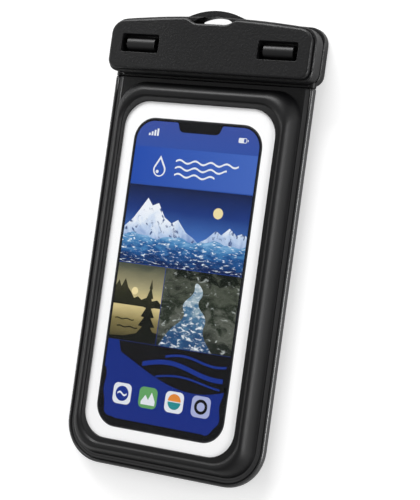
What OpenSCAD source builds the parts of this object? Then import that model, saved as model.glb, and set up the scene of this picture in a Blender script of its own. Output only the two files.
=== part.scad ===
// Waterproof phone pouch with a snap clamp, lying on its back.
// X runs across the pouch, Y runs from its bottom edge to the lanyard loop, Z is up.
// The origin is the middle of the bounding box, on the surface that the pouch lies on.

/* [Pouch] */
// Width of the pouch over the bead on its edge
pouch_w = 108.2; // [95:0.2:125]
// Length of the pouch from its bottom edge to the weld line of the mouth strip
pouch_len = 188.3; // [150:0.1:230]
// Radius of the bottom corners of the hem
hem_corner_r = 19.5; // [15:0.5:24]
// Radius of the bead that closes the edge of the pouch
bead_r = 2; // [1.5:0.1:2.6]
// Width of the bead and the flat hem together, up to the foot of the air cushion
hem_w = 4.6; // [4.2:0.1:6]
// Thickness of each half of the flat hem
hem_t = 1.3; // [0.8:0.1:1.6]
// Width of the air cushion beside and below the window, from its foot to the crease
cushion_w = 5.8; // [5:0.1:9]
// Width of the air cushion above the window
cushion_top_w = 7.2; // [5:0.1:10]
// Height of the front air cushion above the middle plane of the pouch
cushion_rise = 9.2; // [6:0.1:11]
// Radius of the outer corners of the air cushion
cushion_corner_r = 14; // [12:0.5:20]
// Width of the flat inner band beside and below the window
band_w = 2.8; // [2:0.1:5]
// Width of the flat inner band above the window
band_top_w = 3.1; // [2:0.1:6]
// Thickness of the inner band
band_t = 0.8; // [0.6:0.1:1.2]
// Depth of the window face below the crest of the front air cushion
window_drop = 0.8; // [0.4:0.1:1.5]
// Radius of the window corners
window_corner_r = 13; // [8:0.5:15]
// Length of the flat strip between the air cushion and the weld line at the mouth
gusset_len = 2.4; // [1.5:0.1:8]
// Thickness of the clear window films
film_t = 0.4; // [0.2:0.05:0.5]
// Thickness of the printed card behind the front window
card_t = 0.4; // [0.2:0.05:0.5]

/* [Mouth] */
// Thickness of each mouth strip between the beads, below the clamp
strip_t = 1.6; // [1.5:0.1:2]
// Thickness of each lip that the jaws pinch
lip_t = 0.45; // [0.3:0.05:0.5]
// Length of the lips inside the clamp
lip_len = 8; // [7:0.1:9]
// Distance from each end of the clamp to the end of a lip
lip_end = 5.4; // [4:0.2:8]

/* [Clamp] */
// Width of the clamp
clamp_w = 110.8; // [104:0.2:130]
// Height of the clamp in the middle of its crowned top edge
clamp_h = 28.4; // [28:0.1:32]
// Space between the weld line and the clamp
clamp_space = 1; // [0.5:0.1:3]
// Thickness of the back jaw
back_t = 5.5; // [5.5:0.1:7]
// Gap between the jaws, which the two lips fill
jaw_gap = 1.1; // [1.1:0.05:1.4]
// Thickness of the middle jaw
middle_t = 7.6; // [6.5:0.1:9]
// Thickness of the front cover
cover_t = 2.7; // [2.4:0.1:3.5]
// Step from the edge of the middle jaw in to the edge of the front cover
cover_step = 1.2; // [0.6:0.1:1.6]
// Width of the dark reveal line round the foot of the front cover
reveal = 0.4; // [0.2:0.1:0.6]
// Radius of the rounded rim of the front cover
cover_rim_r = 1.1; // [0.6:0.1:1.6]
// Drop of the crowned top edge at the ends of the front cover and middle jaw
crown_drop = 3.4; // [1.5:0.1:4]
// Drop of the crowned top edge at the ends of the back jaw
back_crown_drop = 1.3; // [0.8:0.1:2]
// Radius of the top corners of the clamp
top_corner_r = 8; // [5:0.5:9]
// Radius of the bottom corners of the clamp
bottom_corner_r = 5.5; // [3.5:0.5:7]
// Radius of the rounded outer rim of the back jaw
back_rim_r = 1.8; // [0.8:0.1:2.2]

/* [Scoop and lanyard loop] */
// Height of the lanyard loop above the middle of the top edge
loop_rise = 3.5; // [3:0.1:5]
// Radius of the outer arc of the loop
loop_outer_r = 36; // [30:1:45]
// Radius of the inner arc of the loop
loop_inner_r = 19.5; // [16:0.5:22]
// Thickness of the loop at its highest point
loop_t = 2.8; // [2.2:0.1:3.4]
// Height of the lanyard opening in the middle of the loop
loop_gap = 4.5; // [4.4:0.1:6]
// Depth of the loop from its front to the middle jaw's inner face
loop_depth = 5; // [4:0.1:6]
// Depth of the scoop in the top edge of the front cover
scoop_depth = 2.6; // [1.5:0.1:3]
// Width of the flat floor of the scoop
scoop_floor_w = 14; // [8:0.5:18]
// Radius of the two curves at each end of the scoop
scoop_r = 6.4; // [5:0.2:8]

/* [Latches] */
// Distance from each end of the clamp to the middle of its latch
latch_inset = 18.2; // [17:0.1:22]
// Distance from the bottom edge of the clamp to the middle of the latch windows
window_y = 13.6; // [13:0.1:14.2]
// Width of the latch windows in the front cover
port_w = 20.9; // [19.5:0.1:22]
// Height of the latch windows in the front cover
port_h = 8.9; // [8:0.1:10]
// Corner radius of the latch windows
port_r = 1.2; // [0.6:0.1:1.5]
// Radius of the round bar of each latch link
bar_r = 3.3; // [2.8:0.1:3.4]
// Length of the round bar
bar_len = 15.4; // [14:0.1:17]
// Drop of the bar's axis below the middle of the window
bar_drop = 0; // [0:0.1:0.6]
// Depth of the bar below the face of the front cover
bar_depth = 0.4; // [0.4:0.1:0.9]
// Width of the link's shank
shank_w = 10; // [8:0.2:11]
// Thickness of the link's shank and diameter of its eye
shank_t = 3; // [2.8:0.1:3]
// Radius of the steel pin in the bar
link_pin_r = 0.8; // [0.6:0.1:1]
// Length of the steel pin in the bar
link_pin_len = 24; // [23:0.5:25]
// Radius of the steel pin in the lever
lever_pin_r = 0.7; // [0.5:0.05:0.8]
// Height of the lever pin above the back face
lever_pin_z = 2.35; // [2.3:0.05:2.5]
// Width of the lever
lever_w = 15.6; // [14.5:0.1:16]
// Reach of the lever from its pin
lever_len = 11; // [9:0.1:11.5]
// Depth of the folded lever's plate below the back face
lever_sink = 0.5; // [0.4:0.1:0.6]
// Thickness of the lever plate
lever_t = 1.7; // [1.3:0.1:1.8]
// Length of the lever pin on each side beyond the lever
pin_seat = 2; // [1.5:0.1:3]
// Radius of the finger notch beyond the lever's end
notch_r = 5.5; // [4.5:0.5:6.5]
// Reach of the cam lobe from the lever pin
cam_reach = 1.75; // [1.6:0.05:1.8]

/* [Seals] */
// Distance from the bottom edge of the clamp to the middle of the seals
seal_y = 4.8; // [4:0.1:5.2]
// Width of each seal
seal_w = 3; // [2:0.1:3.4]
// Depth of the seal's groove in the jaw
seal_depth = 1.6; // [1:0.1:2]

/* [Fits] */
// Running clearance between the lever and what is beside it
run_gap = 0.3; // [0.3:0.05:0.4]
// Radial clearance of the steel pins in the pieces that turn on them
pin_gap = 0.05; // [0.03:0.01:0.08]
// Clearance of pieces that are laid in
lay_gap = 0.2; // [0.1:0.05:0.3]

/* [Hidden] */
$fn = 64;

// Heights of the layers of the clamp, and the middle plane that the pouch shares with it
mid_z = back_t + jaw_gap / 2;
middle_z0 = back_t + jaw_gap;
cover_z0 = middle_z0 + middle_t;
face_z = cover_z0 + cover_t;

// Places along the length
clamp_y0 = pouch_len + clamp_space;
clamp_y1 = clamp_y0 + clamp_h;
loop_top = clamp_y1 + loop_rise;
latch_y = clamp_y0 + window_y - bar_drop;
half_len = loop_top / 2;

// Latches: middle of each, axis and seat of the bar, slot for the shank, room for the cam
latch_x = clamp_w / 2 - latch_inset;
bar_z = face_z - bar_depth - bar_r;
seat_z = bar_z - bar_r / 2;
slot_w = shank_w + 2 * run_gap;
slot_l = shank_t + 2 * run_gap;
eye_hw = shank_w / 2 - run_gap;
pin_half = lever_w / 2 + pin_seat;
cam_room = cam_reach + run_gap;
recess_z = lever_sink + lever_t + run_gap;

// Half lengths of the lips and of the seals, which reach past the lips
lip_hw = clamp_w / 2 - lip_end;
seal_hw = lip_hw + 1;

// Pouch outlines: half widths and ends of the foot, the crease and the window
pouch_hw = pouch_w / 2;
foot_hw = pouch_hw - hem_w;
crease_hw = foot_hw - cushion_w;
window_hw = crease_hw - band_w;
foot_y1 = pouch_len - gusset_len;
crease_y0 = hem_w + cushion_w;
crease_y1 = foot_y1 - cushion_top_w;
window_y0 = crease_y0 + band_w;
window_y1 = crease_y1 - band_top_w;
crease_r = (cushion_corner_r + window_corner_r) / 2;
// Width of the rebate behind the inner band that the film and the card are laid in
rebate = 2.2;
front_face_h = cushion_rise - window_drop;
back_drop = 0.5;
back_rise = mid_z;
back_face_h = back_rise - back_drop;

// Profile of the cushion: place of its crest on the way from foot (0) to crease (1), how hollow
// its foot and how full its crest is, and the depth of the crease below the inner band
crest_t = 0.6;
foot_power = 1.1;
crest_power = 1.15;
crease_depth = 0.35;

arc_n = 10;

// Points of an arc from angle a to angle b
function arc(x, y, r, a, b, n) =
    [for (i = [0:n]) let (t = a + (b - a) * i / n) [x + r * cos(t), y + r * sin(t)]];

// Outline of a rounded oblong: half width, lower and upper end, lower and upper corner radius
function oblong(hw, y0, y1, r0, r1) = concat(
    arc(hw - r0, y0 + r0, r0, -90, 0, arc_n),
    arc(hw - r1, y1 - r1, r1, 0, 90, arc_n),
    arc(-hw + r1, y1 - r1, r1, 90, 180, arc_n),
    arc(-hw + r0, y0 + r0, r0, 180, 270, arc_n));

// Outline of the hem, stepped in from the edge of the pouch by d. Its top end is cut square.
square_r = 1;
top_ease = 0.6;
function hem_ring(d) =
    oblong(pouch_hw - d, d, pouch_len - min(d, top_ease), hem_corner_r - d, square_r);

// Outline of the air cushion, from its foot (0) to its crease (1)
function cushion_ring(t) = let (r = cushion_corner_r + (crease_r - cushion_corner_r) * t)
    oblong(foot_hw - cushion_w * t, hem_w + cushion_w * t, foot_y1 - cushion_top_w * t, r, r);

// Outline of the window, grown outwards by d
function window_ring(d) = oblong(window_hw + d, window_y0 - d, window_y1 + d,
    window_corner_r + d, window_corner_r + d);

// The same arc without its last point, for an arc that runs on into the next
function arc_to(x, y, r, a, b, n) =
    [for (i = [0:n - 1]) let (t = a + (b - a) * i / n) [x + r * cos(t), y + r * sin(t)]];

// Clamp outline stepped in by d, with a crowned top edge and an optional scoop in it.
// Every arc is tangent to the next: corner, crown, the scoop's shoulder, the scoop's foot.
function clamp_ring(d, drop, scoop) =
    let (w = clamp_w / 2)
    let (rt = top_corner_r)
    let (rb = bottom_corner_r)
    let (crown = (w * w + drop * drop) / (2 * drop))
    let (cy = clamp_y1 - crown)
    let (ty = cy + sqrt(pow(crown - rt, 2) - pow(w - rt, 2)))
    let (turn = atan2(ty - cy, w - rt))
    let (fx = scoop_floor_w / 2)
    let (fy = clamp_y1 - scoop_depth + scoop_r)
    let (span = norm([fx, fy - cy]))
    let (along = (pow(crown - scoop_r, 2) - 4 * scoop_r * scoop_r + span * span) / (2 * span))
    let (across = sqrt(pow(crown - scoop_r, 2) - along * along))
    let (kx = (along * fx + across * (fy - cy)) / span)
    let (ky = cy + (along * (fy - cy) - across * fx) / span)
    let (bend = atan2(ky - fy, kx - fx))
    let (side = scoop ? atan2(ky - cy, kx) : 90)
    concat(
        arc(w - rb, clamp_y0 + rb, rb - d, -90, 0, 6),
        arc_to(w - rt, ty, rt - d, 0, turn, 8),
        arc_to(0, cy, crown - d, turn, side, 8),
        scoop ? arc_to(kx, ky, scoop_r - d, side, 180 + bend, 6) : [],
        scoop ? arc(fx, fy, scoop_r + d, bend, -90, 6) : [],
        scoop ? arc_to(-fx, fy, scoop_r + d, 270, 180 - bend, 6) : [],
        scoop ? arc_to(-kx, ky, scoop_r - d, -bend, 180 - side, 6) : [],
        arc_to(0, cy, crown - d, 180 - side, 180 - turn, 8),
        arc(-w + rt, ty, rt - d, 180 - turn, 180, 8),
        arc(-w + rb, clamp_y0 + rb, rb - d, 180, 270, 6));

// Solid through a stack of outlines with the same number of points
module stack(rings, heights) {
    n = len(rings[0]);
    k = len(rings);
    polyhedron(
        points = [for (i = [0:k - 1]) for (p = rings[i]) [p[0], p[1], heights[i]]],
        faces = concat(
            [[for (j = [0:n - 1]) j]],
            [[for (j = [n - 1:-1:0]) (k - 1) * n + j]],
            [for (i = [0:k - 2]) for (j = [0:n - 1])
                [i * n + j, (i + 1) * n + j, (i + 1) * n + (j + 1) % n, i * n + (j + 1) % n]]));
}

// Ring-shaped solid whose closed section runs through the outlines in turn
module ring_solid(rings, heights) {
    n = len(rings[0]);
    k = len(rings);
    polyhedron(
        points = [for (i = [0:k - 1]) for (p = rings[i]) [p[0], p[1], heights[i]]],
        faces = [for (i = [0:k - 1]) for (j = [0:n - 1]) let (m = (i + 1) % k)
            [i * n + j, m * n + j, m * n + (j + 1) % n, i * n + (j + 1) % n]]);
}

// Half of the pouch skin above the middle plane: bead, hem, air cushion, crease and inner band
module skin_half(rise, face) {
    bead_n = 6;
    bead_end = 130;
    bulge_n = 7;
    fall_n = 5;
    ease = 0.35;
    bead_a = [for (i = [0:bead_n]) bead_end * i / bead_n];
    bulge_t = concat([for (i = [0:bulge_n]) crest_t * i / bulge_n],
        [for (i = [1:fall_n]) crest_t + (1 - crest_t) * i / fall_n]);
    rings = concat(
        [for (a = bead_a) hem_ring(bead_r * (1 - cos(a)))],
        [for (t = bulge_t) cushion_ring(t)],
        [window_ring(band_w - ease), window_ring(0), window_ring(0)],
        [window_ring(rebate), window_ring(rebate)]);
    heights = concat(
        [for (a = bead_a) bead_r * sin(a)],
        [for (t = bulge_t) cushion_height(t, rise, face)],
        [face, face, face - band_t, face - band_t, 0]);
    ring_solid(rings, heights);
}

// Height of the air cushion at t across it
function cushion_height(t, rise, face) =
    t < crest_t
        ? hem_t + (rise - hem_t) * pow(sin(90 * pow(t / crest_t, foot_power)), crest_power)
        : rise - (rise - face + crease_depth) * pow((t - crest_t) / (1 - crest_t), 2);

// Flat sheet with the outline of the window, grown by d, between two heights
module window_sheet(d, z0, z1) {
    stack([window_ring(d), window_ring(d)], [z0, z1]);
}

module lay() {
    translate([0, -half_len, 0]) children();
}

module front_frame() {
    color([0.09, 0.09, 0.095]) lay() translate([0, 0, mid_z]) skin_half(cushion_rise, front_face_h);
}

module back_frame() {
    color([0.09, 0.09, 0.095]) lay() translate([0, 0, mid_z]) mirror([0, 0, 1])
        skin_half(back_rise, back_face_h);
}

module front_window() {
    top = mid_z + front_face_h - band_t;
    color([0.9, 0.93, 0.95, 0.4]) lay() window_sheet(rebate - lay_gap, top - film_t, top);
}

module back_window() {
    low = mid_z - back_face_h + band_t;
    color([0.9, 0.93, 0.95, 0.4]) lay() window_sheet(rebate - lay_gap, low, low + film_t);
}

module insert_card() {
    top = mid_z + front_face_h - band_t - film_t;
    color([0.96, 0.96, 0.97]) lay() window_sheet(rebate - 2 * lay_gap, top - card_t, top);
}

// Mouth strip above the middle plane. Its thick part runs on from the hem and the beads of the
// pouch to the clamp and follows the clamp's rounded corners. Its lip reaches into the clamp.
module mouth_half() {
    reach = clamp_space + bottom_corner_r;
    bead_x = pouch_hw - bead_r;
    intersection() {
        linear_extrude(bead_r) difference() {
            translate([-pouch_hw, pouch_len]) square([pouch_w, reach]);
            polygon(clamp_ring(-lay_gap, crown_drop, false));
        }
        translate([0, pouch_len + reach, 0]) rotate([90, 0, 0]) linear_extrude(reach) {
            translate([-bead_x, 0]) square([2 * bead_x, strip_t]);
            for (s = [-1, 1]) translate([s * bead_x, 0]) circle(bead_r, $fn = 32);
        }
    }
    translate([-lip_hw, pouch_len, 0]) cube([2 * lip_hw, clamp_space + lip_len, lip_t]);
}

module front_mouth_strip() {
    color([0.07, 0.07, 0.075]) lay() translate([0, 0, mid_z]) mouth_half();
}

module back_mouth_strip() {
    color([0.07, 0.07, 0.075]) lay() translate([0, 0, mid_z]) mirror([0, 0, 1]) mouth_half();
}

// Copies its children to both latches
module both() {
    for (s = [-1, 1]) translate([s * latch_x, latch_y, 0]) children();
}

// Round bar along X, centred
module rod(r, l) {
    rotate([0, 90, 0]) cylinder(r = r, h = l, center = true);
}

// Box centred in X and Y that rises from z0 to z1
module block(w, l, z0, z1) {
    translate([-w / 2, -l / 2, z0]) cube([w, l, z1 - z0]);
}

// Rounded outline of a latch window, centred
module port_shape() {
    square([port_w - 2 * port_r, port_h], center = true);
    square([port_w, port_h - 2 * port_r], center = true);
    for (x = [-1, 1]) for (y = [-1, 1])
        translate([x * (port_w / 2 - port_r), y * (port_h / 2 - port_r)]) circle(port_r);
}

// Space of the lanyard opening, under the inner arc of the loop
module lanyard_hole(z0, z1) {
    inner_top = loop_top - loop_t;
    translate([0, 0, z0]) linear_extrude(z1 - z0) intersection() {
        translate([0, inner_top - loop_inner_r]) circle(loop_inner_r, $fn = 96);
        translate([-loop_inner_r, inner_top - loop_gap]) square([2 * loop_inner_r, loop_gap]);
    }
}

module clamp_cover() {
    rim_n = 5;
    rim_a = [for (i = [0:rim_n]) 90 * i / rim_n];
    plate_d = cover_step + cover_rim_r + 1;
    rings = [for (d = concat([cover_step + reveal, cover_step + reveal, cover_step],
        [for (a = rim_a) cover_step + cover_rim_r * (1 - cos(a))], [plate_d, plate_d]))
        clamp_ring(d, crown_drop, true)];
    heights = concat([cover_z0, cover_z0 + reveal, cover_z0 + reveal],
        [for (a = rim_a) face_z - cover_rim_r * (1 - sin(a))], [face_z, cover_z0]);
    color([0.17, 0.17, 0.175]) lay() {
        ring_solid(rings, heights);
        translate([0, 0, cover_z0]) linear_extrude(cover_t) difference() {
            polygon(clamp_ring(plate_d, crown_drop, true));
            for (s = [-1, 1]) translate([s * latch_x, clamp_y0 + window_y]) port_shape();
        }
    }
}

// Lanyard loop, which the middle jaw carries: a flat arc that rises behind the scoop
module lanyard_loop() {
    root = 4;
    translate([0, loop_top - loop_outer_r, middle_z0]) linear_extrude(loop_depth) intersection() {
        circle(loop_outer_r, $fn = 180);
        translate([-loop_outer_r, loop_outer_r - loop_rise - root])
            square([2 * loop_outer_r, loop_rise + root]);
    }
}

module clamp_middle() {
    rim = 0.5;
    floor_t = 2.4;
    rib_t = 1.6;
    pocket_n = 5;
    pocket_l = 12;
    pocket_w = 2 * (latch_x - link_pin_len / 2 - rib_t);
    cell = (pocket_w - (pocket_n - 1) * rib_t) / pocket_n;
    color([0.13, 0.13, 0.135]) lay() difference() {
        union() {
            stack([for (d = [rim, 0, 0, rim]) clamp_ring(d, crown_drop, false)],
                [middle_z0, middle_z0 + rim, cover_z0 - rim, cover_z0]);
            lanyard_loop();
        }
        lanyard_hole(middle_z0 - 1, cover_z0 + 1);
        for (i = [0:pocket_n - 1])
            translate([-pocket_w / 2 + i * (cell + rib_t), clamp_y0 + seal_y + seal_w, middle_z0 + floor_t])
                cube([cell, pocket_l, middle_t]);
        for (s = [-1, 1]) translate([s * latch_x, clamp_y0 + window_y, seat_z])
            linear_extrude(middle_t) port_shape();
        both() {
            translate([0, 0, bar_z]) rod(bar_r + lay_gap / 2, port_w);
            translate([0, 0, bar_z]) rod(link_pin_r, link_pin_len);
            block(slot_w, slot_l, middle_z0 - 1, bar_z);
        }
        translate([0, clamp_y0 + seal_y, middle_z0]) seal_groove();
    }
}

// Groove for a seal, cut into the jaw's inner face and seen from that face
module seal_groove() {
    block(2 * seal_hw + 2 * lay_gap, seal_w + 2 * lay_gap, -1, seal_depth);
}

// Seal with a round nose: its back lies on the floor of the groove, its nose on the lip
module seal(reach) {
    nose = seal_w / 2;
    rotate([90, 0, 90]) linear_extrude(2 * seal_hw, center = true) intersection() {
        union() {
            translate([0, nose - reach]) circle(nose, $fn = 48);
            translate([-nose, nose - reach]) square([seal_w, seal_depth - nose + reach]);
        }
        translate([-nose, -reach]) square([seal_w, seal_depth + reach]);
    }
}

module seal_front() {
    color([0.3, 0.3, 0.31]) lay() translate([0, clamp_y0 + seal_y, middle_z0])
        seal(jaw_gap / 2 - lip_t);
}

module seal_back() {
    color([0.3, 0.3, 0.31]) lay() translate([0, clamp_y0 + seal_y, back_t]) mirror([0, 0, 1])
        seal(jaw_gap / 2 - lip_t);
}

module clamp_back() {
    rim_n = 4;
    edge = 0.4;
    thumb_hw = loop_inner_r - 7;
    thumb_l = 3;
    rim_a = [for (i = [0:rim_n]) 90 * i / rim_n];
    recess_w = lever_w + 2 * run_gap;
    rings = [for (d = concat([for (a = rim_a) back_rim_r * (1 - sin(a))], [0, edge]))
        clamp_ring(d, back_crown_drop, false)];
    heights = concat([for (a = rim_a) back_rim_r * (1 - cos(a))], [back_t - edge, back_t]);
    color([0.13, 0.13, 0.135]) lay() difference() {
        stack(rings, heights);
        lanyard_hole(-1, back_t + 1);
        translate([0, clamp_y1, 0]) block(2 * thumb_hw, thumb_l + 1, -1, back_t + 1);
        both() {
            block(slot_w, slot_l, 1, back_t + 1);
            block(recess_w, 2 * cam_room, -1, lever_pin_z + cam_room);
            translate([-recess_w / 2, 0, -1]) cube([recess_w, lever_len + run_gap, 1 + recess_z]);
            translate([0, lever_len + notch_r / 2, -1]) cylinder(r = notch_r, h = 1 + recess_z);
            translate([0, 0, lever_pin_z]) rod(lever_pin_r, 2 * pin_half);
        }
        translate([0, clamp_y0 + seal_y, back_t]) mirror([0, 0, 1]) seal_groove();
    }
}

// T-shaped link: round bar in front, shank through both jaws, eye for the lever's pin
module latch_link() {
    difference() {
        union() {
            translate([0, 0, bar_z]) rod(bar_r, bar_len);
            block(2 * eye_hw, shank_t, lever_pin_z, bar_z);
            translate([0, 0, lever_pin_z]) rod(shank_t / 2, 2 * eye_hw);
        }
        translate([0, 0, bar_z]) rod(link_pin_r + pin_gap, bar_len + 2);
        translate([0, 0, lever_pin_z]) rod(lever_pin_r + pin_gap, 2 * eye_hw + 2);
    }
}

module link_pin() {
    translate([0, 0, bar_z]) rod(link_pin_r, link_pin_len);
}

module lever_pin() {
    translate([0, 0, lever_pin_z]) rod(lever_pin_r, 2 * pin_half);
}

// Cam lever folded flat: two knuckles with cam lobes beside the link's eye, and a ribbed plate
module latch_lever() {
    knuckle_r = shank_t / 2;
    knuckle_w = (lever_w - shank_w) / 2;
    plate_y = knuckle_r + run_gap;
    web = 0.2;
    cam_t = 1.2;
    rib_n = 4;
    rib_pitch = 1.4;
    groove_l = 0.7;
    groove_t = 0.4;
    groove_edge = 1.5;
    difference() {
        union() {
            for (s = [-1, 1]) translate([s * (shank_w + knuckle_w) / 2, 0, lever_pin_z]) {
                rod(knuckle_r, knuckle_w);
                block(knuckle_w, cam_t, 0, cam_reach);
                translate([-knuckle_w / 2, 0, lever_sink - lever_pin_z])
                    cube([knuckle_w, plate_y + web, lever_t]);
            }
            translate([-lever_w / 2, plate_y, lever_sink])
                cube([lever_w, lever_len - plate_y, lever_t]);
        }
        translate([0, 0, lever_pin_z]) rod(lever_pin_r + pin_gap, lever_w + 2);
        for (i = [1:rib_n])
            translate([groove_edge - lever_w / 2, lever_len - i * rib_pitch, lever_sink - 1])
                cube([lever_w - 2 * groove_edge, groove_l, 1 + groove_t]);
    }
}

module at(s) {
    lay() translate([s * latch_x, latch_y, 0]) children();
}

module latch_link_left() {
    color([0.15, 0.15, 0.155]) at(-1) latch_link();
}

module latch_link_right() {
    color([0.15, 0.15, 0.155]) at(1) latch_link();
}

module link_pin_left() {
    color([0.75, 0.76, 0.78]) at(-1) link_pin();
}

module link_pin_right() {
    color([0.75, 0.76, 0.78]) at(1) link_pin();
}

module latch_lever_left() {
    color([0.15, 0.15, 0.155]) at(-1) latch_lever();
}

module latch_lever_right() {
    color([0.15, 0.15, 0.155]) at(1) latch_lever();
}

module lever_pin_left() {
    color([0.75, 0.76, 0.78]) at(-1) lever_pin();
}

module lever_pin_right() {
    color([0.75, 0.76, 0.78]) at(1) lever_pin();
}

front_frame();
front_window();
insert_card();
back_frame();
back_window();
front_mouth_strip();
back_mouth_strip();
clamp_cover();
clamp_middle();
clamp_back();
seal_front();
seal_back();
latch_link_left();
latch_link_right();
link_pin_left();
link_pin_right();
latch_lever_left();
latch_lever_right();
lever_pin_left();
lever_pin_right();
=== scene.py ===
from math import cos, pi, radians, sin

import bpy
from mathutils import Matrix, Vector


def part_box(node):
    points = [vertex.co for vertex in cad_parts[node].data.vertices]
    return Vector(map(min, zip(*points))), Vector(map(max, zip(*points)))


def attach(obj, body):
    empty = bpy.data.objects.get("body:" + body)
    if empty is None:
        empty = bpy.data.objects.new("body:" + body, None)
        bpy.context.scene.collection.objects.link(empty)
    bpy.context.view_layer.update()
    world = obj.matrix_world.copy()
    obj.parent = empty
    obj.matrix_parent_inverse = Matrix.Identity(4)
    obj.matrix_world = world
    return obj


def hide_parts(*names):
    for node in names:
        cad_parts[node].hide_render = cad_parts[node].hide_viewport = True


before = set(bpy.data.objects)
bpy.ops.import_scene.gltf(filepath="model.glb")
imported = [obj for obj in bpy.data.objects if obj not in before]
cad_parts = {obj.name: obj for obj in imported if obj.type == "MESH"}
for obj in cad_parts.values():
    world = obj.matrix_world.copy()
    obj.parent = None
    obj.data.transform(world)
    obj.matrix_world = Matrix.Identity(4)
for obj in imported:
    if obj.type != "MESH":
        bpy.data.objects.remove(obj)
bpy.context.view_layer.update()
case = "case"

# Camera. It stands above the right side of the case and looks down on it from about 61 degrees,
# turned a little about its own axis, as the photograph does. Sizes are metres in the part's frame.
eye = Vector((0.39454, -0.02387, 0.70202))
aim = Vector((0.0149, -0.00243, 0.0138))
roll = radians(7.88)
lens_mm = 121.3
sensor_mm = 36


def add_camera():
    data = bpy.data.cameras.new("camera")
    data.lens = lens_mm
    data.sensor_width = sensor_mm
    camera = bpy.data.objects.new("camera", data)
    bpy.context.scene.collection.objects.link(camera)
    forward = (aim - eye).normalized()
    up = (Vector((0, 1, 0)) - forward * forward.y).normalized()
    right = forward.cross(up)
    up, right = up * cos(roll) - right * sin(roll), right * cos(roll) + up * sin(roll)
    turn = Matrix((right, up, -forward)).transposed().to_4x4()
    camera.matrix_world = Matrix.Translation(eye) @ turn
    bpy.context.scene.camera = camera


add_camera()


# Studio. A pale floor, a large softbox beyond the loop's end, a weak strip on the left, a low softbox
# on the right and a pale sky. The floor shows near white to the camera and through the film, and keeps
# the case's soft shadow.
floor_side = 6
floor_grey = 0.82
floor_glow = 0.4
sky_strength = 0.31


def new_material(name):
    material = bpy.data.materials.new(name)
    material.use_nodes = True
    nodes = material.node_tree.nodes
    nodes.clear()
    out = nodes.new("ShaderNodeOutputMaterial")
    shader = nodes.new("ShaderNodeBsdfPrincipled")
    material.node_tree.links.new(shader.outputs[0], out.inputs[0])
    return material, nodes, material.node_tree.links, shader


def add_floor():
    bpy.ops.mesh.primitive_plane_add(size=floor_side)
    floor = bpy.context.object
    floor.name = "studio_floor"
    material, nodes, links, shader = new_material("floor_white")
    shader.inputs["Base Color"].default_value = (floor_grey, floor_grey, floor_grey, 1)
    shader.inputs["Roughness"].default_value = 0.9
    shader.inputs["Specular IOR Level"].default_value = 0.1
    shader.inputs["Emission Color"].default_value = (1, 1, 1, 1)
    path = nodes.new("ShaderNodeLightPath")
    seen = nodes.new("ShaderNodeMath")
    seen.operation = "MAXIMUM"
    links.new(path.outputs["Is Camera Ray"], seen.inputs[0])
    links.new(path.outputs["Is Transmission Ray"], seen.inputs[1])
    glow = nodes.new("ShaderNodeMath")
    glow.operation = "MULTIPLY"
    glow.inputs[1].default_value = floor_glow
    links.new(seen.outputs[0], glow.inputs[0])
    links.new(glow.outputs[0], shader.inputs["Emission Strength"])
    floor.data.materials.append(material)


def add_lamp(name, place, target, size, watts):
    data = bpy.data.lights.new(name, "AREA")
    data.shape = "RECTANGLE"
    data.size, data.size_y = size
    data.energy = watts
    lamp = bpy.data.objects.new(name, data)
    bpy.context.scene.collection.objects.link(lamp)
    lamp.location = place
    way = Vector(target) - Vector(place)
    lamp.rotation_euler = way.to_track_quat("-Z", "Y").to_euler()


def add_sky():
    world = bpy.data.worlds.new("studio_sky")
    world.use_nodes = True
    background = world.node_tree.nodes["Background"]
    background.inputs["Color"].default_value = (1, 1, 1, 1)
    background.inputs["Strength"].default_value = sky_strength
    bpy.context.scene.world = world


add_floor()
add_lamp("top_softbox", place=(-0.40, 1.15, 0.62), target=(0, 0.03, 0), size=(1.1, 0.55), watts=18.5)
add_lamp("left_strip", place=(-1.10, 0.05, 0.50), target=(0, 0, 0), size=(1.2, 0.16), watts=5)
add_lamp("right_softbox", place=(1.20, -0.10, 0.40), target=(0, 0, 0), size=(1.0, 0.30), watts=11)
add_sky()
bpy.context.scene.view_settings.view_transform = "Standard"


# Pouch skins. Each is one moulding of soft black plastic: a rolled bead on its edge, a flat hem,
# the raised air cushion, a welded crease and the flat inner band that holds the window film.
mm = 0.001
arc_steps = 14
skin_lo, skin_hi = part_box("front_frame")
film_lo, film_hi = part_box("front_window")
back_film_lo, back_film_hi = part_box("back_window")
pouch_hw = skin_hi.x
pouch_y0 = skin_lo.y
pouch_y1 = skin_hi.y
mid_z = skin_lo.z
# outline: hem, gussets at the mouth, and the whole width of the skin round the window
hem_w = 4.6 * mm
hem_t = 1.3 * mm
hem_corner = 19.5 * mm
mouth_inset = 0.6 * mm
mouth_corner = 1 * mm
gusset_len = 2.4 * mm
frame_w = 13.2 * mm
frame_top = 12.7 * mm
window_corner = 13 * mm
rebate = 2.2 * mm
# bead: half a round rolled over the edge
bead_r = 2 * mm
bead_w = 1.1 * mm
bead_sweep = 150
bead_rows = 11
# air cushion: widths beside, below and above the window, and the place of its crest on the way in
cushion_side = 5.6 * mm
cushion_low = 5.2 * mm
cushion_top = 7.1 * mm
cushion_corner = 14 * mm
crest = 0.75
side_crest = 0.9
crest_fall = 0.2 * mm
rise_rows = 20
fall_rows = 10
# crease and inner band
chamfer = 0.7 * mm
groove_depth = 0.15 * mm
band_tilt = 0.35 * mm
band_t = 0.8 * mm
front_drop = 0.35 * mm
hem_smooth_angle = 24
# hem from the bead inwards: (distance from the edge, height) in mm. After the bead come a groove,
# the flat hem with a fine weld line in it, and the foot of the cushion.
hem_line = (
    (2.1, 1.1), (2.25, 1.26), (2.5, 1.3), (3.2, 1.3), (3.3, 1.2), (3.45, 1.3), (4.0, 1.3), (4.3, 1.42))


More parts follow.
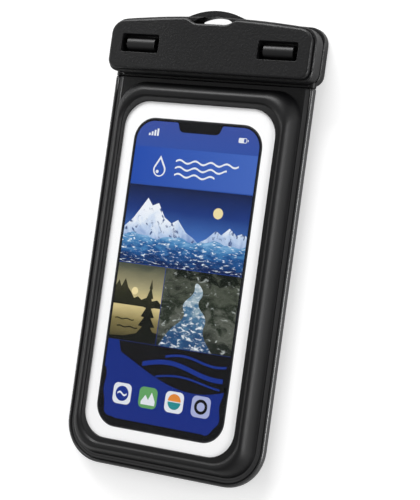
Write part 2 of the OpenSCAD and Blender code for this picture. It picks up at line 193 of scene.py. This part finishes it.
def oblong(half_width, low, high, low_r, high_r, steps=arc_steps):
    points = []
    for cx, cy, r, start in (
        (half_width - low_r, low + low_r, low_r, -90),
        (half_width - high_r, high - high_r, high_r, 0),
        (high_r - half_width, high - high_r, high_r, 90),
        (low_r - half_width, low + low_r, low_r, 180),
    ):
        for i in range(steps + 1):
            a = radians(start + 90 * i / steps)
            points.append(Vector((cx + r * cos(a), cy + r * sin(a))))
    return points


def hem_ring(d):
    return oblong(pouch_hw - d, pouch_y0 + d, pouch_y1 - min(d, mouth_inset), hem_corner - d, mouth_corner)


def cushion_ring(t, inset=0):
    """Outline of the air cushion from its foot (0) to its crease (1)."""
    r = cushion_corner + ((cushion_corner + window_corner) / 2 - cushion_corner) * t
    across = t * side_crest / crest if t < crest else 1 - (1 - t) * (1 - side_crest) / (1 - crest)
    side = pouch_hw - hem_w - cushion_side * across - inset
    low = pouch_y0 + hem_w + cushion_low * t + inset
    high = pouch_y1 - gusset_len - cushion_top * t - inset
    return oblong(side, low, high, r, r)


def cushion_height(t, rise):
    if t < crest:
        return hem_t + (rise - hem_t) * (1 - (1 - t / crest) ** 2)
    return rise - crest_fall * ((t - crest) / (1 - crest)) ** 2


def window_ring(grow):
    r = window_corner + grow
    low, high = pouch_y0 + frame_w - grow, pouch_y1 - frame_top + grow
    return oblong(pouch_hw - frame_w + grow, low, high, r, r)


def skin_rings(rise, face, side, drop):
    """Closed section of a skin as rings: bead, hem, cushion, crease, inner band, step and rebate."""
    rows = []
    for i in range(bead_rows):
        a = radians(bead_sweep * i / (bead_rows - 1))
        rows.append((hem_ring(bead_w * (1 - cos(a))), bead_r * sin(a)))
    rows += [(hem_ring(d * mm), h * mm) for d, h in hem_line]
    for i in range(rise_rows):
        t = crest * i / rise_rows
        rows.append((cushion_ring(t), cushion_height(t, rise)))
    for i in range(fall_rows):
        t = crest + (1 - crest) * i / (fall_rows - 1)
        rows.append((cushion_ring(t), cushion_height(t, rise)))
    crease, low_edge, high_edge = face - groove_depth, face - band_tilt / 2, face + band_tilt / 2
    for d, h in ((0, crease), (0.15, crease), (0.2, low_edge)):
        rows.append((cushion_ring(1, chamfer + d * mm), h))
    for d, h in ((0.6, high_edge), (0.3, high_edge), (0.1, face), (0, face - drop)):
        rows.append((window_ring(d * mm), h))
    rows.append((window_ring(rebate), face - drop))
    rows.append((window_ring(rebate), 0))
    return [[(p.x, p.y, mid_z + side * h) for p in ring] for ring, h in rows]


def mesh_object(name, vertices, faces):
    mesh = bpy.data.meshes.new(name)
    mesh.from_pydata(vertices, [], faces)
    piece = bpy.data.objects.new(name, mesh)
    bpy.context.scene.collection.objects.link(piece)
    return piece


def ring_mesh(name, rings):
    count = len(rings[0])
    vertices = [point for ring in rings for point in ring]
    faces = []
    for i in range(len(rings)):
        j = (i + 1) % len(rings)
        for k in range(count):
            m = (k + 1) % count
            faces.append((i * count + k, i * count + m, j * count + m, j * count + k))
    return mesh_object(name, vertices, faces)


def finish_mesh(piece, angle=35):
    bpy.ops.object.select_all(action="DESELECT")
    piece.select_set(True)
    bpy.context.view_layer.objects.active = piece
    bpy.ops.object.mode_set(mode="EDIT")
    bpy.ops.mesh.select_all(action="SELECT")
    bpy.ops.mesh.normals_make_consistent(inside=False)
    bpy.ops.object.mode_set(mode="OBJECT")
    bpy.ops.object.shade_smooth_by_angle(angle=radians(angle))


def grain_group():
    """Fine moulded grain as a height, and the wear of handling as a roughness between two values."""
    group = bpy.data.node_groups.new("moulded_grain", "ShaderNodeTree")
    put = group.interface.new_socket
    put("Grain size mm", in_out="INPUT", socket_type="NodeSocketFloat").default_value = 0.4
    put("Smooth", in_out="INPUT", socket_type="NodeSocketFloat").default_value = 0.4
    put("Matt", in_out="INPUT", socket_type="NodeSocketFloat").default_value = 0.55
    put("Roughness", in_out="OUTPUT", socket_type="NodeSocketFloat")
    put("Height", in_out="OUTPUT", socket_type="NodeSocketFloat")
    nodes, links = group.nodes, group.links
    inner, outer = nodes.new("NodeGroupInput"), nodes.new("NodeGroupOutput")
    place = nodes.new("ShaderNodeTexCoord")
    per_metre = nodes.new("ShaderNodeMath")
    per_metre.operation = "DIVIDE"
    per_metre.inputs[0].default_value = 1000
    links.new(inner.outputs["Grain size mm"], per_metre.inputs[1])
    grain = nodes.new("ShaderNodeTexNoise")
    grain.inputs["Detail"].default_value = 3
    grain.inputs["Roughness"].default_value = 0.6
    links.new(place.outputs["Object"], grain.inputs["Vector"])
    links.new(per_metre.outputs[0], grain.inputs["Scale"])
    handling = nodes.new("ShaderNodeTexNoise")
    handling.inputs["Scale"].default_value = 28
    handling.inputs["Detail"].default_value = 4
    links.new(place.outputs["Object"], handling.inputs["Vector"])
    blend = nodes.new("ShaderNodeMix")
    blend.data_type = "FLOAT"
    links.new(inner.outputs["Smooth"], blend.inputs[2])
    links.new(inner.outputs["Matt"], blend.inputs[3])
    links.new(handling.outputs["Fac"], blend.inputs[0])
    links.new(blend.outputs[0], outer.inputs["Roughness"])
    links.new(grain.outputs["Fac"], outer.inputs["Height"])
    return group


moulded_grain = grain_group()


def moulded_material(name, colour, grain_mm, depth_mm, smooth, matt, specular=0.5):
    material, nodes, links, shader = new_material(name)
    grain = nodes.new("ShaderNodeGroup")
    grain.node_tree = moulded_grain
    grain.inputs["Grain size mm"].default_value = grain_mm
    grain.inputs["Smooth"].default_value = smooth
    grain.inputs["Matt"].default_value = matt
    bump = nodes.new("ShaderNodeBump")
    bump.inputs["Strength"].default_value = 1
    bump.inputs["Distance"].default_value = depth_mm * mm
    links.new(grain.outputs["Height"], bump.inputs["Height"])
    links.new(bump.outputs[0], shader.inputs["Normal"])
    links.new(grain.outputs["Roughness"], shader.inputs["Roughness"])
    shader.inputs["Base Color"].default_value = (*colour, 1)
    shader.inputs["Specular IOR Level"].default_value = specular
    return material


skin_black = moulded_material(
    "skin_black", (0.003, 0.003, 0.0035), grain_mm=1.0, depth_mm=0.05, smooth=0.40, matt=0.50, specular=0.38)
# The bead and the flat hem take a glossier copy of the skin's plastic. Its lighter colour is a painted
# highlight on the bead and hem.
hem_highlight_black = moulded_material(
    "hem_highlight_black", (0.02, 0.02, 0.021), grain_mm=0.35, depth_mm=0.008, smooth=0.28, matt=0.36, specular=1)


def add_skin(name, node, rise, face, side, drop):
    rings = skin_rings(rise, face, side, drop)
    piece = ring_mesh(name, rings)
    piece.data.materials.append(skin_black)
    piece.data.materials.append(hem_highlight_black)
    # The faces of the bead and the hem take the copy with the painted highlight.
    hem_faces = (bead_rows + len(hem_line) - 1) * len(rings[0])
    marks = [int(i < hem_faces) for i in range(len(piece.data.polygons))]
    piece.data.polygons.foreach_set("material_index", marks)
    finish_mesh(piece, hem_smooth_angle)
    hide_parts(node)
    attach(piece, case)


front_rise = skin_hi.z - mid_z
front_face = film_hi.z + band_t - mid_z
back_rise = mid_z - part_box("back_frame")[0].z
back_face = mid_z - back_film_lo.z + band_t
add_skin("front_skin", "front_frame", front_rise, front_face, 1, front_drop)
add_skin("back_skin", "back_frame", back_rise, back_face, -1, band_t)


# Window films. Clear soft film, welded behind the inner bands of the two skins.
# Light reaches the card through it, so shadow and diffuse rays pass the film unchanged.
lay_gap = 0.2 * mm
ink_room = 0.14 * mm
film_lift = 0.45 * mm


def film_material():
    material, nodes, links, shader = new_material("clear_film")
    shader.inputs["Base Color"].default_value = (1, 1, 1, 1)
    shader.inputs["Roughness"].default_value = 0.04
    shader.inputs["IOR"].default_value = 1.15
    shader.inputs["Transmission Weight"].default_value = 1
    clear = nodes.new("ShaderNodeBsdfTransparent")
    path = nodes.new("ShaderNodeLightPath")
    passing = nodes.new("ShaderNodeMath")
    passing.operation = "MAXIMUM"
    links.new(path.outputs["Is Shadow Ray"], passing.inputs[0])
    links.new(path.outputs["Is Diffuse Ray"], passing.inputs[1])
    mix = nodes.new("ShaderNodeMixShader")
    links.new(passing.outputs[0], mix.inputs[0])
    links.new(shader.outputs[0], mix.inputs[1])
    links.new(clear.outputs[0], mix.inputs[2])
    out = next(n for n in nodes if n.type == "OUTPUT_MATERIAL")
    links.new(mix.outputs[0], out.inputs[0])
    return material


clear_film = film_material()


def sheet_mesh(name, ring, low, high):
    count = len(ring)
    vertices = [(p.x, p.y, z) for z in (low, high) for p in ring]
    faces = [tuple(range(count))[::-1], tuple(range(count, 2 * count))]
    faces += [(k, (k + 1) % count, count + (k + 1) % count, count + k) for k in range(count)]
    return mesh_object(name, vertices, faces)


def add_film(name, node, low, high):
    piece = sheet_mesh(name, window_ring(rebate - lay_gap), low, high)
    piece.data.materials.append(clear_film)
    finish_mesh(piece)
    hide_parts(node)
    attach(piece, case)


add_film("front_film", "front_window", film_lo.z + film_lift + ink_room, film_hi.z + film_lift)
add_film("back_film", "back_window", back_film_lo.z, back_film_hi.z)


# Insert card. White card behind the front film, printed with a generic phone: dark body, blue screen,
# a header with a drop, one wide and two small pictures of water and hills, and a row of icons.
# Each ink is a thin layer of its own, drawn in mm across and down from the phone's top left corner.
card_lo, card_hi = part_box("insert_card")
card_top = card_hi.z + film_lift
phone_x = -34.95 * mm
phone_y = 57.3 * mm
phone_w = 69.8
phone_h = 148.9
phone_corner = 11
rim_w = 0.7
bezel_w = 1.5
header_top, header_low = 14, 32
tile_top, tile_mid, tile_low = 32.5, 70.5, 107.5
tile_split = 27.5
icon_top, icon_side, icon_pitch = 127.6, 10, 14.4
ink_step = 0.020 * mm
ink_gloss = 0.1
ink_rough = 0.45


def print_material(name, colour, rough=ink_rough):
    material, nodes, links, shader = new_material(name)
    shader.inputs["Roughness"].default_value = rough
    shader.inputs["Specular IOR Level"].default_value = ink_gloss
    shader.inputs["Base Color"].default_value = (*colour, 1)
    return material


def picture_group():
    """Place across and up the card in mm, and a broad and a fine fractal pattern."""
    group = bpy.data.node_groups.new("printed_picture", "ShaderNodeTree")
    put = group.interface.new_socket
    put("Broad scale", in_out="INPUT", socket_type="NodeSocketFloat").default_value = 60
    put("Fine scale", in_out="INPUT", socket_type="NodeSocketFloat").default_value = 320
    put("Stretch", in_out="INPUT", socket_type="NodeSocketFloat").default_value = 1
    for output in ("Across mm", "Up mm", "Broad", "Fine"):
        put(output, in_out="OUTPUT", socket_type="NodeSocketFloat")
    nodes, links = group.nodes, group.links
    inner, outer = nodes.new("NodeGroupInput"), nodes.new("NodeGroupOutput")
    place = nodes.new("ShaderNodeTexCoord")
    split = nodes.new("ShaderNodeSeparateXYZ")
    links.new(place.outputs["Object"], split.inputs[0])
    for axis, output in (("X", "Across mm"), ("Y", "Up mm")):
        scale = nodes.new("ShaderNodeMath")
        scale.operation = "MULTIPLY"
        scale.inputs[1].default_value = 1000
        links.new(split.outputs[axis], scale.inputs[0])
        links.new(scale.outputs[0], outer.inputs[output])
    drawn = nodes.new("ShaderNodeMath")
    drawn.operation = "MULTIPLY"
    links.new(split.outputs["Y"], drawn.inputs[0])
    links.new(inner.outputs["Stretch"], drawn.inputs[1])
    joined = nodes.new("ShaderNodeCombineXYZ")
    links.new(split.outputs["X"], joined.inputs["X"])
    links.new(drawn.outputs[0], joined.inputs["Y"])
    for scale, output, detail in (("Broad scale", "Broad", 5), ("Fine scale", "Fine", 9)):
        noise = nodes.new("ShaderNodeTexNoise")
        noise.inputs["Detail"].default_value = detail
        noise.inputs["Roughness"].default_value = 0.62
        noise.inputs["Distortion"].default_value = 0.6
        links.new(joined.outputs[0], noise.inputs["Vector"])
        links.new(inner.outputs[scale], noise.inputs["Scale"])
        links.new(noise.outputs["Fac"], outer.inputs[output])
    return group


printed_picture = picture_group()


def picture_material(name, low, high, sway, broad, fine, stretch, colours, flecks=None, along="Up mm"):
    """A picture whose colours run from low to high mm along the card, stirred by the broad pattern."""
    material, nodes, links, shader = new_material(name)
    shader.inputs["Roughness"].default_value = ink_rough
    shader.inputs["Specular IOR Level"].default_value = ink_gloss
    picture = nodes.new("ShaderNodeGroup")
    picture.node_tree = printed_picture
    picture.inputs["Broad scale"].default_value = broad
    picture.inputs["Fine scale"].default_value = fine
    picture.inputs["Stretch"].default_value = stretch

    def math(operation, first, second):
        node = nodes.new("ShaderNodeMath")
        node.operation = operation
        for socket, value in zip(node.inputs, (first, second)):
            if isinstance(value, (int, float)):
                socket.default_value = value
            else:
                links.new(value, socket)
        return node.outputs[0]

    up = math("DIVIDE", math("SUBTRACT", picture.outputs[along], low), high - low)
    stirred = math("ADD", up, math("MULTIPLY", math("SUBTRACT", picture.outputs["Broad"], 0.5), sway))
    ramp = nodes.new("ShaderNodeValToRGB")
    stops = ramp.color_ramp.elements
    while len(stops) < len(colours):
        stops.new(0.5)
    for stop, (at, colour) in zip(stops, colours):
        stop.position = at
        stop.color = (*colour, 1)
    links.new(stirred, ramp.inputs[0])
    colour = ramp.outputs[0]
    if flecks:
        start, full, tint = flecks
        mask = nodes.new("ShaderNodeMapRange")
        mask.inputs["From Min"].default_value = start
        mask.inputs["From Max"].default_value = full
        links.new(picture.outputs["Fine"], mask.inputs[0])
        mix = nodes.new("ShaderNodeMix")
        mix.data_type = "RGBA"
        mix.inputs[7].default_value = (*tint, 1)
        links.new(mask.outputs[0], mix.inputs[0])
        links.new(colour, mix.inputs[6])
        colour = mix.outputs[2]
    links.new(colour, shader.inputs["Base Color"])
    return material


def on_card(u, v):
    return Vector((phone_x + u * mm, phone_y - v * mm))


def card_line(*places):
    return [on_card(u, v) for u, v in places]


def card_rounded(u0, v0, u1, v1, r, steps=6):
    points = []
    corners = ((u1 - r, v1 - r, -90), (u1 - r, v0 + r, 0), (u0 + r, v0 + r, 90), (u0 + r, v1 - r, 180))
    for cu, cv, start in corners:
        for i in range(steps + 1):
            a = radians(start + 90 * i / steps)
            points.append(on_card(cu + r * cos(a), cv - r * sin(a)))
    return points


def card_disc(u, v, r, steps=28, start=0, end=360):
    turn = end - start
    count = steps if turn == 360 else steps + 1
    angles = [radians(start + turn * i / steps) for i in range(count)]
    return [on_card(u + r * cos(a), v - r * sin(a)) for a in angles]


def card_wave(u0, u1, v, rise, waves, thick, steps=40):
    shares = [i / steps for i in range(steps + 1)]
    top = [(u0 + (u1 - u0) * f, v - rise * sin(2 * pi * waves * f)) for f in shares]
    low = [(u, w + thick) for u, w in top]
    return card_line(*low, *top[::-1])


def card_hill(u0, u1, base, peaks):
    return card_line((u0, base), (u1, base), *[(u0 + (u1 - u0) * f, base - h) for f, h in peaks[::-1]])


def card_drop(u, v, r, steps=22):
    turns = [radians(150 + 240 * i / steps) for i in range(steps + 1)]
    return card_line(*[(u + r * cos(a), v - r * sin(a)) for a in turns], (u, v - 2 * r))


def card_soft(points, rounds=3):
    for _ in range(rounds):
        pairs = list(zip(points, points[1:] + points[:1]))
        points = [q for a, b in pairs for q in (a * 0.75 + b * 0.25, a * 0.25 + b * 0.75)]
    return points


def card_fir(u, base, width, height, tiers=6):
    right = []
    for i in range(tiers):
        f = (i + 1) / tiers
        tip = base - height * (1 - f)
        right += [(width / 2 * f, tip), (width / 4 * f, tip + 0.3)]
    left = [(u - x, v) for x, v in right]
    return card_line((u, base - height), *left, *[(u + x, v) for x, v in right[::-1]])


def card_border(edge, corner_r, v_left, v_right, width):
    """A band along the lower half of the screen's outline. Its breadth in mm is width(0) to width(1)."""
    low, right = phone_h - edge, phone_w - edge
    line = [((edge, v_left + (low - corner_r - v_left) * i / 12), (1, 0)) for i in range(12)]
    for cu, start in ((edge + corner_r, 180), (right - corner_r, 270)):
        for i in range(13):
            a = radians(start + 90 * i / 12)
            place = (cu + corner_r * cos(a), low - corner_r - corner_r * sin(a))
            line.append((place, (-cos(a), sin(a))))
    line += [((right, low - corner_r + (v_right - low + corner_r) * i / 12), (-1, 0)) for i in range(1, 13)]
    widths = [width(i / (len(line) - 1)) for i in range(len(line))]
    inner = [(u + a * w, v + b * w) for ((u, v), (a, b)), w in zip(line, widths)]
    return card_line(*[place for place, _ in line], *inner[::-1])


inks = [
    print_material("card_white", (0.95, 0.95, 0.955), 0.5),
    print_material("ink_body", (0.030, 0.031, 0.034)),
    print_material("ink_black", (0.003, 0.003, 0.004)),
    print_material("ink_white", (0.74, 0.77, 0.82)),
    picture_material(
        "ink_wallpaper", low=-92, high=57, sway=0.05, broad=40, fine=200, stretch=1,
        colours=(
            (0, (0.008, 0.024, 0.20)), (0.3, (0.005, 0.022, 0.19)), (0.7, (0.015, 0.062, 0.33)),
            (0.85, (0.024, 0.076, 0.35)), (1, (0.040, 0.072, 0.31)))),
    picture_material(
        "ink_band", low=-34, high=34, sway=0.03, broad=40, fine=200, stretch=1,
        colours=((0, (0.014, 0.064, 0.37)), (1, (0.052, 0.125, 0.46))), along="Across mm"),
    print_material("ink_blue", (0.007, 0.028, 0.23)),
    picture_material(
        "ink_sky", low=-14, high=25, sway=0.12, broad=50, fine=240, stretch=1,
        colours=(
            (0, (0.34, 0.50, 0.80)), (0.36, (0.05, 0.15, 0.46)), (0.7, (0.010, 0.034, 0.18)),
            (1, (0.006, 0.012, 0.05)))),
    picture_material(
        "ink_snow", low=-8, high=20, sway=0.9, broad=150, fine=330, stretch=0.7,
        colours=(
            (0.1, (0.08, 0.18, 0.46)), (0.42, (0.46, 0.58, 0.78)), (0.62, (0.76, 0.82, 0.90)),
            (1, (0.86, 0.88, 0.92))),
        flecks=(0.56, 0.62, (0.04, 0.08, 0.22))),
    picture_material(
        "ink_sea", low=-14, high=4, sway=1.2, broad=120, fine=330, stretch=3.2,
        colours=(
            (0.1, (0.003, 0.015, 0.08)), (0.45, (0.010, 0.075, 0.25)), (0.7, (0.06, 0.22, 0.46)),
            (1, (0.25, 0.47, 0.70))),
        flecks=(0.57, 0.63, (0.78, 0.86, 0.92))),
    picture_material(
        "ink_dusk", low=-50, high=-14, sway=0.14, broad=60, fine=240, stretch=3,
        colours=(
            (0, (0.03, 0.027, 0.012)), (0.28, (0.22, 0.18, 0.07)), (0.5, (0.70, 0.58, 0.28)),
            (0.72, (0.33, 0.30, 0.17)), (1, (0.06, 0.07, 0.05)))),
    picture_material(
        "ink_wood", low=-42, high=-18, sway=0.8, broad=260, fine=800, stretch=1,
        colours=((0.2, (0.004, 0.005, 0.003)), (0.6, (0.020, 0.021, 0.010)), (1, (0.05, 0.047, 0.025)))),
    picture_material(
        "ink_rocks", low=-50, high=-14, sway=1.5, broad=95, fine=230, stretch=1.6,
        colours=(
            (0.05, (0.012, 0.016, 0.012)), (0.35, (0.10, 0.11, 0.09)), (0.55, (0.010, 0.016, 0.009)),
            (0.8, (0.07, 0.08, 0.06)), (1, (0.004, 0.007, 0.004))),
        flecks=(0.60, 0.70, (0.50, 0.54, 0.52))),
    picture_material(
        "ink_rapids", low=-50, high=-14, sway=1.6, broad=150, fine=300, stretch=1.8,
        colours=(
            (0.1, (0.015, 0.06, 0.16)), (0.45, (0.06, 0.16, 0.28)), (0.7, (0.30, 0.40, 0.46)),
            (1, (0.7, 0.75, 0.78))),
        flecks=(0.52, 0.62, (0.78, 0.82, 0.84))),
    print_material("ink_green", (0.12, 0.34, 0.12)),
    print_material("ink_lilac", (0.38, 0.42, 0.66)),
    print_material("ink_teal", (0.02, 0.24, 0.26)),
    print_material("ink_orange", (0.72, 0.24, 0.04)),
    print_material("ink_yellow", (0.80, 0.68, 0.36)),
]
ink_names = [ink.name for ink in inks]
card_vertices, card_faces, card_marks = [], [], []


def prism(points, low, high, colour):
    start, count = len(card_vertices), len(points)
    card_vertices.extend((p.x, p.y, z) for z in (low, high) for p in points)
    card_faces.append(tuple(range(start, start + count))[::-1])
    card_faces.append(tuple(range(start + count, start + 2 * count)))
    for k in range(count):
        m = (k + 1) % count
        card_faces.append((start + k, start + m, start + count + m, start + count + k))
    card_marks.extend([ink_names.index(colour)] * (count + 2))


def ink(level, colour, *outlines):
    low = card_top + (level + 0.1) * ink_step
    for points in outlines:
        prism(points, low, low + 0.8 * ink_step, colour)


def draw_phone():
    for level, colour, d in ((0, "ink_body", 0), (1, "ink_black", rim_w), (2, "ink_wallpaper", bezel_w)):
        ink(level, colour, card_rounded(d, d, phone_w - d, phone_h - d, phone_corner - d, 12))


def draw_status_row():
    """Camera notch, signal bars and battery."""
    ink(3, "ink_black", card_line(
        (22.6, 1.2), (23.6, 1.9), (24.1, 3.4), (24.9, 5.2), (26.6, 6),
        (44.6, 6), (46.3, 5.2), (47.1, 3.4), (47.6, 1.9), (48.6, 1.2)))
    for i in range(4):
        ink(3, "ink_white", card_rounded(8 + 1.5 * i, 7.4 - 0.8 * i, 9 + 1.5 * i, 8.6, 0.2, 2))
    ink(3, "ink_white", card_rounded(57, 6.2, 61.4, 8.6, 0.6, 3), card_rounded(61.7, 6.9, 62.2, 7.9, 0.2, 2))
    ink(4, "ink_wallpaper", card_rounded(59.8, 6.5, 61.1, 8.3, 0.3, 2))


def draw_header(left, right):
    """A drop beside three wave lines on a lighter band."""
    ink(3, "ink_band", card_rounded(left, header_top, right, header_low, 0.3, 2))
    ink(4, "ink_white", card_drop(16.5, 24.6, 3.4))
    ink(5, "ink_band", card_drop(16.5, 24.8, 2.6))
    ink(6, "ink_white", card_disc(15.5, 25.6, 0.8, 14))
    for i in range(3):
        ink(4, "ink_white", card_wave(25, 59 - 6 * i, 19.4 + 3.3 * i, 0.75, 4 - i * 0.75, 0.9))


def draw_peaks(left, right):
    """Wide picture: snowy peaks over open water under a low sun."""
    foot = tile_mid - 0.3
    ink(3, "ink_sky", card_rounded(left, tile_top, right, foot, 0.3, 2))
    ink(4, "ink_yellow", card_disc(51.5, tile_top + 10, 2.6))
    ink(4, "ink_snow", card_hill(left + 0.1, 43, 58, (
        (0, 5), (0.1, 9), (0.2, 15), (0.27, 19.5), (0.34, 16), (0.42, 17.5), (0.52, 11), (0.62, 8.5),
        (0.7, 10.5), (0.82, 5), (0.93, 2.6), (1, 0.5))))
    ink(4, "ink_snow", card_hill(43.2, right - 0.1, 58, (
        (0, 1), (0.15, 3), (0.34, 7.4), (0.46, 5.6), (0.62, 9.2), (0.78, 6.2), (0.9, 7.4), (1, 6.2))))
    swell = [(left + (right - left) * (24 - i) / 24, 56.6 + 0.9 * sin(i * 0.8) + 0.5 * sin(i * 1.9))
             for i in range(25)]
    ink(5, "ink_sea", card_line((left, foot), (right, foot), *swell))


def draw_dusk(left):
    """Left picture: a wood and a fir at dusk by a lake."""
    ink(3, "ink_dusk", card_rounded(left, tile_mid, tile_split, tile_low, 0.3, 2))
    ink(4, "ink_yellow", card_disc(12.4, 83.4, 1.8))
    ink(4, "ink_wood", card_hill(left, tile_split, 90.4, (
        (0, 8.6), (0.06, 11.5), (0.12, 8.4), (0.19, 12.5), (0.27, 8.2), (0.34, 6.4), (0.42, 3.6),
        (0.5, 4.6), (0.58, 3.2), (0.7, 4.6), (0.8, 3), (0.92, 3.9), (1, 2.2))))
    ink(4, "ink_wood", card_wave(left + 2, 14, 97, 0.25, 2, 0.5), card_wave(5, 16.5, 100.6, 0.25, 2, 0.6))
    ink(5, "ink_wood", card_fir(21.2, 104, 11, 27))
    ink(4, "ink_wood", card_hill(left, tile_split, tile_low - 0.1, (
        (0, 1.6), (0.3, 2.2), (0.55, 4), (0.8, 6), (1, 5.2))))


def draw_rapids(right):
    """Right picture: rapids between rocks."""
    ink(3, "ink_rocks", card_rounded(tile_split + 0.3, tile_mid, right, tile_low, 0.3, 2))
    ink(4, "ink_rapids", card_soft(card_line(
        (29, tile_low), (58, tile_low), (57, tile_low - 1), (51, 99), (53.5, 92), (46.5, 86), (50.2, 80.5),
        (46.6, 76), (44.4, 76.2), (45.0, 81), (38.5, 86.5), (42, 92.5), (34, 99), (29.5, tile_low - 1))))


def draw_sweeps(right):
    """Black sweeps, a black lower border and blue waves below the pictures."""
    shares = [i / 16 for i in range(17)]
    curve = [(right - 59 * f, 124 + 17 * sin(f * 1.9) * (1 - f) - 11 * f) for f in shares]
    ink(3, "ink_black", card_line((right, tile_low + 0.2), (right, 124), *curve, (7.5, tile_low + 0.2)))

    def breadth(f):
        return 0.9 + 1.7 * sin(pi * f) + 0.55 * sin(31 * f) + 2.2 * max(0, f - 0.75)

    ink(3, "ink_black", card_border(bezel_w - 0.1, 9.6, 121, 122, breadth))
    ink(4, "ink_blue", card_wave(22, 66, 116, 2.4, 0.8, 2.2), card_wave(34, 67, 111.5, 1.4, 0.9, 1.1),
        card_wave(30, 65, 121.6, 1.6, 0.7, 0.9))


def draw_icons():
    """Four plain icons: a wave on a disc, hills, a two-coloured disc and a ring."""
    for i, tint in enumerate(("ink_white", "ink_green", "ink_white", "ink_lilac")):
        u = 8.2 + i * icon_pitch
        ink(4, tint, card_rounded(u, icon_top, u + icon_side, icon_top + icon_side, 2.5))
    ink(5, "ink_blue", card_disc(13.2, 132.6, 3.6))
    ink(6, "ink_white", card_wave(10.6, 15.8, 132.2, 0.7, 1, 0.9, 20))
    ink(5, "ink_white", card_hill(24, 31.6, 136, ((0, 1.5), (0.28, 4.6), (0.5, 2.4), (0.72, 6.2), (1, 2))))
    ink(5, "ink_teal", card_disc(42, 132.6, 3.5, 24, 180, 360))
    ink(5, "ink_orange", card_disc(42, 132.2, 3.5, 24, 0, 180))
    ink(5, "ink_black", card_disc(56.4, 132.6, 3.5))
    ink(6, "ink_lilac", card_disc(56.4, 132.6, 2.1))


def add_card():
    left, right = bezel_w, phone_w - bezel_w
    prism(window_ring(rebate - 2 * lay_gap), card_lo.z, card_top, "card_white")
    draw_phone()
    draw_status_row()
    draw_header(left, right)
    draw_peaks(left, right)
    draw_dusk(left)
    draw_rapids(right)
    draw_sweeps(right)
    draw_icons()
    piece = mesh_object("printed_card", card_vertices, card_faces)
    for material in inks:
        piece.data.materials.append(material)
    piece.data.polygons.foreach_set("material_index", card_marks)
    finish_mesh(piece)
    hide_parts("insert_card")
    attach(piece, case)


add_card()


# Clamp. Three layers of moulded black plastic: front cover, middle jaw with the loop, back jaw.
# Each is the CAD piece, merged, with its sharp edges broken as a mould leaves them.
merge_mm = 0.004
flat_angle = 0.8
edge_angle = 30
smooth_angle = 50
edge_segments = 3
face_weight = 100
clamp_black = moulded_material(
    "clamp_black", (0.005, 0.005, 0.0055), grain_mm=1.2, depth_mm=0.2, smooth=0.32, matt=0.40, specular=0.42)


def dressed_copy(name, node, body, material, edge_mm):
    piece = bpy.data.objects.new(name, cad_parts[node].data.copy())
    bpy.context.scene.collection.objects.link(piece)
    bpy.ops.object.select_all(action="DESELECT")
    piece.select_set(True)
    bpy.context.view_layer.objects.active = piece
    bpy.ops.object.mode_set(mode="EDIT")
    bpy.ops.mesh.select_all(action="SELECT")
    bpy.ops.mesh.remove_doubles(threshold=merge_mm * mm)
    bpy.ops.mesh.dissolve_limited(angle_limit=radians(flat_angle))
    bpy.ops.object.mode_set(mode="OBJECT")
    bevel = piece.modifiers.new("edges", "BEVEL")
    bevel.width = edge_mm * mm
    bevel.segments = edge_segments
    bevel.limit_method = "ANGLE"
    bevel.angle_limit = radians(edge_angle)
    bevel.use_clamp_overlap = True
    bpy.ops.object.modifier_apply(modifier="edges")
    piece.data.materials.clear()
    piece.data.materials.append(material)
    bpy.ops.object.shade_smooth_by_angle(angle=radians(smooth_angle))
    even = piece.modifiers.new("even", "WEIGHTED_NORMAL")
    even.weight = face_weight
    even.keep_sharp = True
    bpy.ops.object.modifier_apply(modifier="even")
    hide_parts(node)
    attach(piece, body)


dressed_copy("front_cover", "clamp_cover", case, clamp_black, 0.3)
dressed_copy("middle_jaw", "clamp_middle", case, clamp_black, 0.25)
dressed_copy("back_jaw", "clamp_back", case, clamp_black, 0.2)


# Latch links. Two T-shaped pieces of black plastic whose round bars show in the cover's windows.
# Each hangs on a pin in the middle jaw, and its shank reaches through both jaws to its lever.
sides = ("left", "right")
latch_black = moulded_material(
    "latch_black", (0.005, 0.005, 0.0055), grain_mm=0.5, depth_mm=0.02, smooth=0.36, matt=0.44, specular=0.4)
for side in sides:
    dressed_copy("link_" + side, "latch_link_" + side, case, latch_black, 0.35)


# Latch levers. Two short cam levers of the same plastic, folded flat into recesses of the back jaw.
# They turn on their own pins by 90 degrees and let the links go slack.
for side in sides:
    dressed_copy("lever_" + side, "latch_lever_" + side, "lever_" + side, latch_black, 0.2)


# Pins. Turned steel, bright in a lever. The pins through the links' bars are near black, a painted shade for
# the dark windows round the bars.
# They are pushed in from the side and sit tight in what carries them.
def steel_material(name, colour, smooth, matt):
    material = moulded_material(name, colour, grain_mm=0.3, depth_mm=0.004, smooth=smooth, matt=matt)
    material.node_tree.nodes["Principled BSDF"].inputs["Metallic"].default_value = 1
    return material


steel = steel_material("pin_steel", (0.22, 0.22, 0.23), smooth=0.25, matt=0.35)
# Near-black steel for the bar pins: painted shade of the cover's windows beside the bars.
window_shade_steel = steel_material("window_shade_steel", (0.02, 0.02, 0.022), smooth=0.35, matt=0.45)
for side in sides:
    dressed_copy("bar_pin_" + side, "link_pin_" + side, case, window_shade_steel, 0.15)
    dressed_copy("cam_pin_" + side, "lever_pin_" + side, case, steel, 0.15)


# Mouth strips. Flat tails of the two pouch skins that run into the clamp, of the same soft plastic.
# They keep their CAD shapes.
def coat_node(node, material):
    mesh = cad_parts[node].data
    mesh.materials.clear()
    mesh.materials.append(material)


coat_node("front_mouth_strip", skin_black)
coat_node("back_mouth_strip", skin_black)


# Seals. Dark rubber strips laid in the jaws, which pinch the mouth of the pouch between them.
# They keep their CAD shapes.
rubber = moulded_material(
    "seal_rubber", (0.03, 0.03, 0.032), grain_mm=0.4, depth_mm=0.02, smooth=0.6, matt=0.75)
coat_node("seal_front", rubber)
coat_node("seal_back", rubber)
